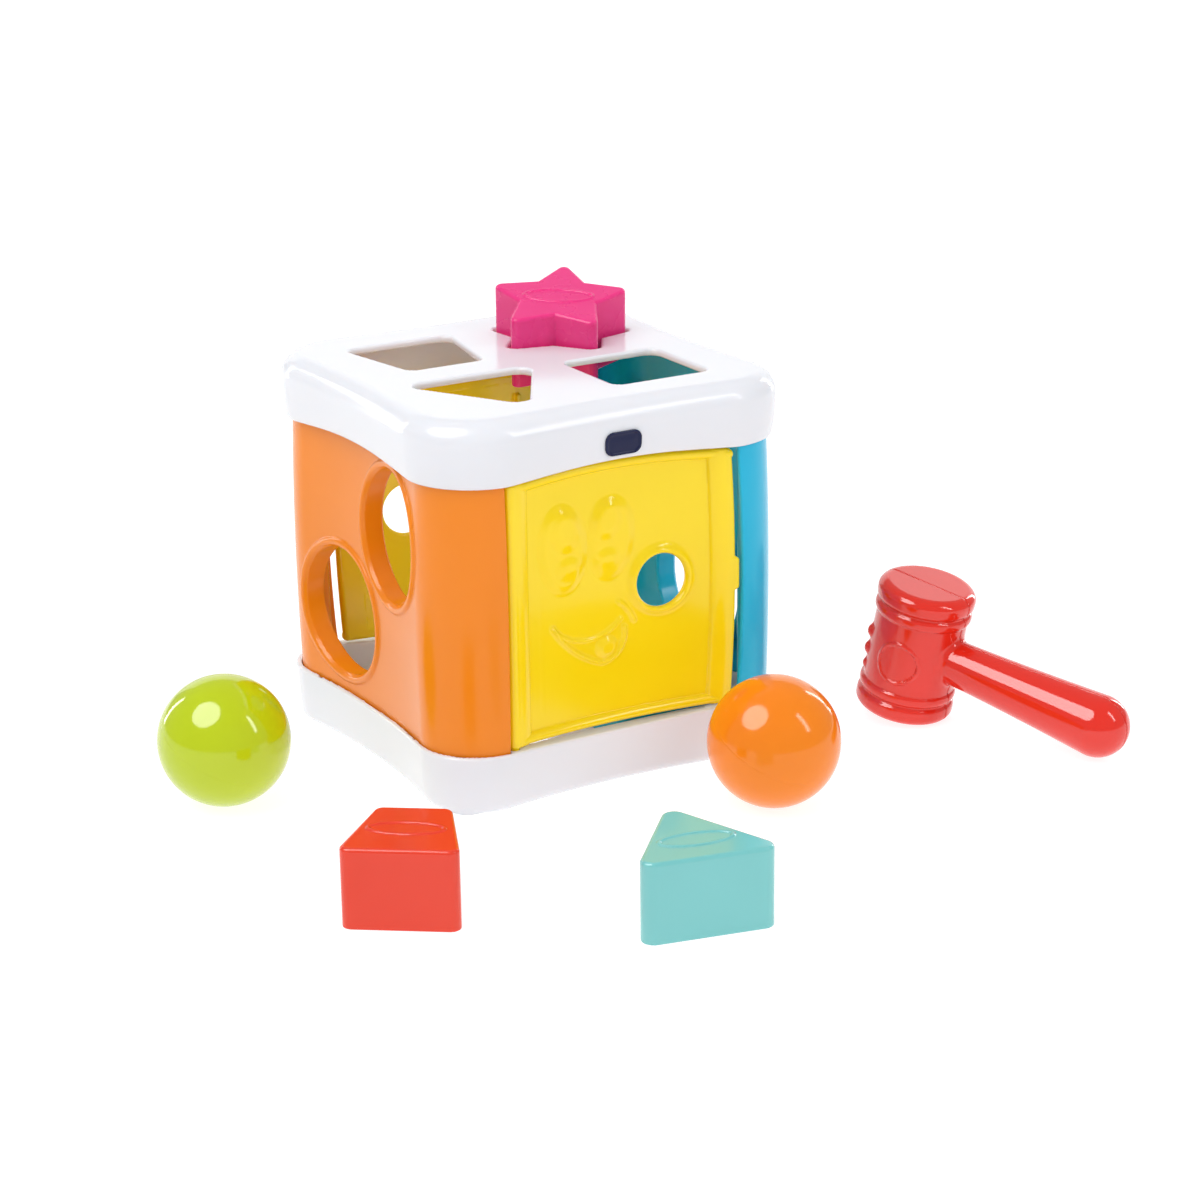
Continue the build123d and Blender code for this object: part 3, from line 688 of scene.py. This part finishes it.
def build_doors():
    low, high = (-54, -82, 15), (57, -67, 146)
    p, quads, normals = surface_mesh(door_field, low, high, 0.58)
    door = make_object("front_door_leaf", p, quads, normals)
    finish_piece(door, "front_door", "yellow_plastic", "front_door")
    back = make_object("back_door_leaf", p, quads, normals, Matrix.Rotation(pi, 4, "Z"))
    finish_piece(back, "back_door", "yellow_plastic", "back_door")


# Badge: a blank domed pad with a raised rim
def badge_field(x, y, z):
    """The badge's pad, which follows the lid's skin."""
    plate = rounded_box(x - BADGE_AT[0], z - BADGE_AT[1], *BADGE_HALF, BADGE_ROUND)
    skin = lid_outside(x, y, z)
    depth = 0.95 - 0.3 * smooth_step(-plate, 0.9, 1.5) + 0.25 * smooth_step(-plate, 1.5, 4.5)
    return both(both(plate, skin - depth, 0.35), -skin - 0.2, 0.1)


def build_badge():
    p, quads, normals = surface_mesh(badge_field, (-10, -85, 141), (8, -80, 152), 0.4)
    finish_piece(make_object("badge_pad", p, quads, normals), "cube", "navy_plastic", "lid_badge")


# Blocks
def block_field(points, corner_r):
    """A hollow block in its own frame, with a blank oval line raised on its top."""

    def field(x, y, z):
        outline = polygon(x, y, points, corner_r)
        body = both(both(outline, z - BLOCK_HIGH, 1.6), -z, 0.5)
        pocket = both(outline + BLOCK_WALL, z - BLOCK_HIGH + BLOCK_WALL, 1.0)
        body = without(body, pocket, 0.3)
        line = np.hypot(ellipse(x, y, *OVAL), (z - BLOCK_HIGH + 0.1) * 1.3) - OVAL_LINE_R
        return either(body, line, 0.2)

    return field


def plane_matrix(origin, x_dir, z_dir):
    """A placing matrix from an origin in millimetres and two directions."""
    z = Vector(z_dir).normalized()
    x = Vector(x_dir)
    x = (x - z * x.dot(z)).normalized()
    y = z.cross(x)
    turn = Matrix((x, y, z)).transposed().to_4x4()
    return Matrix.Translation(Vector(origin) * MM) @ turn


def flat_matrix(place, degrees):
    """Standing upright on a surface and turned."""
    a = radians(degrees)
    return plane_matrix(place, (cos(a), sin(a), 0), (0, 0, 1))


STAR_UP = Vector((-0.1073, -0.204, 0.97306)).normalized()
STAR_FOOT = Vector((31.3, 25.9, 181.06)) - STAR_UP * BLOCK_HIGH
STAR_SIDE = (cos(radians(-35)), sin(radians(-35)), 0)
# Each block has an outline, a corner radius and a placing
BLOCKS = {
    "star": (star_points(), 3.0, plane_matrix(STAR_FOOT, STAR_SIDE, STAR_UP)),
    "square": (square_points(21.5), 4.5, flat_matrix((*SQUARE_AT, FLOOR_HIGH + REST_GAP), 0)),
    "trapezoid": (trapezoid_points(14.5, 23.2, 42.0), 4.0, flat_matrix((-132.5, -142.5, 0), 144.4)),
    "triangle": (triangle_points(59.0), 5.0, flat_matrix((-46.5, -208.0, 0), 168.0)),
}
BLOCK_COLOUR = {"star": "pink", "square": "blue", "trapezoid": "coral", "triangle": "aqua"}


def build_blocks():
    for name, (points, corner_r, matrix) in BLOCKS.items():
        field = block_field(points, corner_r)
        reach = np.abs(np.array(points)).max() + 1
        p, quads, normals = surface_mesh(field, (-reach, -reach, 0), (reach, reach, 33), 0.6)
        shell = make_object(f"{name}_block", p, quads, normals, matrix)
        colour = BLOCK_COLOUR[name] + "_plastic"
        finish_piece(shell, f"{name}_block", colour, f"{name}_block_shell")
        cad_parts[f"{name}_block_cap"].data.materials[0] = materials[colour]


# Balls: turned shapes, a little tilted, with a hairline where the two halves are welded
def build_ball(colour, place, material):
    weld = [-0.5, -0.2, 0, 0.2, 0.5]
    rows = np.concatenate([np.linspace(-90, -1.2, 64), weld, np.linspace(1.2, 90, 64)])
    around = 160
    tilt = Matrix.Rotation(radians(24), 4, "X") @ Matrix.Rotation(radians(15), 4, "Y")
    angle = np.radians(rows[1:-1])
    r = BALL_R - 0.05 * np.exp(-((rows[1:-1] / 0.3) ** 2))
    turn = np.linspace(0, 2 * pi, around, endpoint=False)
    ring = np.stack(np.broadcast_arrays(
        (r * np.cos(angle))[:, None] * np.cos(turn), (r * np.cos(angle))[:, None] * np.sin(turn),
        (r * np.sin(angle))[:, None]), 2).reshape(-1, 3)
    p = np.concatenate([ring, [[0, 0, -BALL_R], [0, 0, BALL_R]]])
    count = len(angle)
    i, j = np.meshgrid(np.arange(count - 1), np.arange(around), indexing="ij")
    k = (j + 1) % around
    quads = np.stack([i * around + j, i * around + k, (i + 1) * around + k, (i + 1) * around + j], 2)
    faces = quads.reshape(-1, 4).tolist()
    south, north, last = len(ring), len(ring) + 1, (count - 1) * around
    for j in range(around):
        k = (j + 1) % around
        faces.append([k, j, south])
        faces.append([last + j, last + k, north])
    mesh = bpy.data.meshes.new(f"{colour}_ball")
    mesh.from_pydata((p * MM).tolist(), [], faces)
    mesh.transform(Matrix.Translation(Vector((*place, BALL_R)) * MM) @ tilt)
    mesh.polygons.foreach_set("use_smooth", np.ones(len(mesh.polygons), bool))
    ball = bpy.data.objects.new(f"{colour}_ball_whole", mesh)
    bpy.context.scene.collection.objects.link(ball)
    finish_piece(ball, f"{colour}_ball", material, f"{colour}_ball_top_half", f"{colour}_ball_bottom_half")


# Hammer
HEAD_HALF, FLANGE_R, HEAD_R, FLANGE_HIGH = 29.6, 21.2, 19.4, 8.5
HANDLE_R, HANDLE_END_R, HANDLE_REACH = 9.6, 14.4, 104.2
FLANGE_ROUND, TAPER_FROM = 4.0, 12
# Bumps on both sides of the head: each one's height and radius, and where their row is
BUMPS, BUMP_AT = ((4.5, 2.5), (-3.6, 2.4), (-11.0, 1.8)), (-15.4, 11.6)
RING_AT, RING_R = (2.6, -2.0), 9.0
HAMMER_AT = (146.2, -78.5)
HAMMER_TILT, HAMMER_WAY = radians(11.6), radians(-66.5)


def hammer_field(x, y, z):
    """The whole hammer: head along Z, handle along +X, seam on the plane Y = 0."""
    r = np.hypot(x, y)
    waist = HEAD_R + 0.5 * (1 - (z / HEAD_HALF) ** 2)
    body = both(r - waist, np.abs(z) - HEAD_HALF + 1, 1.0)
    middle = HEAD_HALF - FLANGE_HIGH / 2
    swell = FLANGE_R - 0.5 * ((np.abs(z) - middle) / (FLANGE_HIGH / 2)) ** 2
    flange = both(r - swell, middle - FLANGE_HIGH / 2 - np.abs(z), 2.2)
    flange = both(flange, np.abs(z) - HEAD_HALF, FLANGE_ROUND)
    head = either(body, flange, 0.5)
    collar = np.hypot((r - waist) * 1.8, np.abs(z) - HEAD_HALF + FLANGE_HIGH + 3.0) - 2.2
    head = either(head, collar, 0.4)
    end = HANDLE_REACH - HANDLE_END_R
    t = np.clip((x - TAPER_FROM) / (end - TAPER_FROM), 0, 1)
    width = HANDLE_R + (HANDLE_END_R - 0.9 - HANDLE_R) * t**1.4
    grip = np.hypot(np.hypot(y, z), np.maximum(x - end, 0) * 0.98) - width
    grip = np.maximum(grip, 8 - x)
    whole = either(head, grip, 2.6)
    disc = np.hypot(x - RING_AT[0], z - RING_AT[1]) - RING_R
    skin = r - waist
    raised = both(both(np.abs(disc) - 0.6, skin - 0.55, 0.4), -skin - 1.0, 0.1)
    whole = either(whole, raised, 0.4)
    for height, size in BUMPS:
        aside = np.hypot(x - BUMP_AT[0], np.abs(y) - BUMP_AT[1])
        whole = either(whole, np.hypot(aside, (z - height) * 0.8) - size, 1.0)
    return whole


def build_hammer():
    way = Vector((cos(HAMMER_WAY), sin(HAMMER_WAY), 0))
    handle = way * cos(HAMMER_TILT) - Vector((0, 0, sin(HAMMER_TILT)))
    head = way * sin(HAMMER_TILT) + Vector((0, 0, cos(HAMMER_TILT)))
    height = (HEAD_HALF - FLANGE_ROUND) * cos(HAMMER_TILT) + (FLANGE_R - FLANGE_ROUND) * sin(HAMMER_TILT)
    matrix = plane_matrix((*HAMMER_AT, height + FLANGE_ROUND + REST_GAP), handle, head)
    for side, name in ((1, "right"), (-1, "left")):
        def half(x, y, z, side=side):
            return both(hammer_field(x, y, z), 0.02 - side * y, 0.55)

        low = (-24, -0.5 if side > 0 else -22, -30)
        high = (105, 22 if side > 0 else 0.5, 30)
        p, quads, normals = surface_mesh(half, low, high, 0.85)
        piece = make_object(f"hammer_{name}_shell", p, quads, normals, matrix)
        finish_piece(piece, "hammer", "red_plastic", f"hammer_{name}_half")


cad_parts["base_screws"].data.materials[0] = materials["screw_steel"]
build_lid()
build_base()
build_panels()
build_doors()
build_badge()
build_blocks()
build_ball("green", GREEN_BALL_AT, "lime_plastic")
build_ball("orange", ORANGE_BALL_AT, "orange_ball_plastic")
build_hammer()


# Floor, light and camera
AIM = Vector((0, 0, 0.06))


def soft_box(name, way, distance, size, radiance, shape="RECTANGLE", gleam=True, fill=True):
    """A soft box seen from the toy in this direction, of an even brightness."""
    place = Vector(way).normalized() * distance + AIM
    lamp = bpy.data.lights.new(name, "AREA")
    lamp.shape = shape
    lamp.size, lamp.size_y = size
    area = size[0] * size[1] * (pi / 4 if shape == "ELLIPSE" else 1)
    lamp.energy = radiance * pi * area
    ob = bpy.data.objects.new(name, lamp)
    ob.location = place
    ob.visible_glossy, ob.visible_diffuse = gleam, fill
    ob.rotation_euler = (AIM - place).to_track_quat("-Z", "Y").to_euler()
    bpy.context.scene.collection.objects.link(ob)


def studio():
    scene = bpy.context.scene
    scene.view_settings.view_transform = "Standard"
    world = bpy.data.worlds.new("studio")
    scene.world = world
    world.use_nodes = True
    sky = world.node_tree.nodes["Background"]
    sky.inputs["Color"].default_value = (0.97, 0.98, 1, 1)
    sky.inputs["Strength"].default_value = 0.42
    key = (-0.60, -0.10, 0.80)
    soft_box("key_fill", key, 1.3, (1.2, 1.2), 2.4, "ELLIPSE", gleam=False)
    soft_box("key_gleam", key, 1.2, (0.95, 0.95), 7.0, "ELLIPSE", fill=False)
    soft_box("strip", (0.46, -0.68, 0.55), 1.4, (0.14, 0.7), 9.0)
    soft_box("front", (0.05, -0.9, 0.45), 2.2, (1.5, 0.9), 1.6, gleam=False)
    soft_box("overhead", (0.15, 0.25, 1.0), 1.7, (1.8, 1.8), 0.75, gleam=False)
    soft_box("backdrop", (0.5, 0.82, 0.3), 2.6, (3.4, 1.4), 0.8)
    soft_box("left_rim", (-0.42, 0.9, 0.2), 1.6, (0.14, 0.9), 8.0)
    soft_box("right_rim", (0.95, 0.3, 0.25), 1.6, (0.14, 0.9), 8.0)
    glow = bpy.data.lights.new("glow_through_walls", "POINT")
    glow.energy, glow.color, glow.shadow_soft_size = 0.055, (1, 0.84, 0.72), 0.03
    inner = bpy.data.objects.new("glow_through_walls", glow)
    inner.location = (-0.01, -0.01, 0.085)
    scene.collection.objects.link(inner)


def studio_paper():
    """Bright paper, clear when it is seen from below, so that the underside can be looked at."""
    paper = bpy.data.materials.new("studio_paper")
    paper.use_nodes = True
    shader = paper.node_tree.nodes["Principled BSDF"]
    shader.inputs["Base Color"].default_value = (0.34, 0.34, 0.34, 1)
    shader.inputs["Roughness"].default_value = 0.8
    shader.inputs["Emission Color"].default_value = (1, 1, 1, 1)
    shader.inputs["Emission Strength"].default_value = 0.84
    new, link = paper.node_tree.nodes.new, paper.node_tree.links.new
    pick = new("ShaderNodeMixShader")
    link(new("ShaderNodeNewGeometry").outputs["Backfacing"], pick.inputs["Fac"])
    link(shader.outputs["BSDF"], pick.inputs[1])
    link(new("ShaderNodeBsdfTransparent").outputs["BSDF"], pick.inputs[2])
    link(pick.outputs["Shader"], paper.node_tree.nodes["Material Output"].inputs["Surface"])
    return paper


def build_floor():
    floor = bpy.data.meshes.new("floor")
    floor.from_pydata([(6 * x, 6 * y, 0) for x, y in square_points(1)], [], [(0, 1, 2, 3)])
    ground = bpy.data.objects.new("floor", floor)
    bpy.context.scene.collection.objects.link(ground)
    floor.materials.append(studio_paper())


def camera():
    """The photograph's viewing angle: from the front left, a little above."""
    turn, rise, roll = radians(-30.142), radians(18.621), radians(-0.744)
    back = Vector((sin(turn) * cos(rise), -cos(turn) * cos(rise), sin(rise)))
    level = Vector((cos(turn), sin(turn), 0))
    above = back.cross(level)
    right = level * cos(roll) + above * sin(roll)
    up = above * cos(roll) - level * sin(roll)
    data = bpy.data.cameras.new("camera")
    data.lens, data.sensor_width = 92.61, 36
    eye = bpy.data.objects.new("camera", data)
    place = Vector((-0.60137, -1.09545, 0.47775))
    eye.matrix_world = Matrix.Translation(place) @ Matrix((right, up, back)).transposed().to_4x4()
    bpy.context.scene.collection.objects.link(eye)
    bpy.context.scene.camera = eye


studio()
build_floor()
camera()
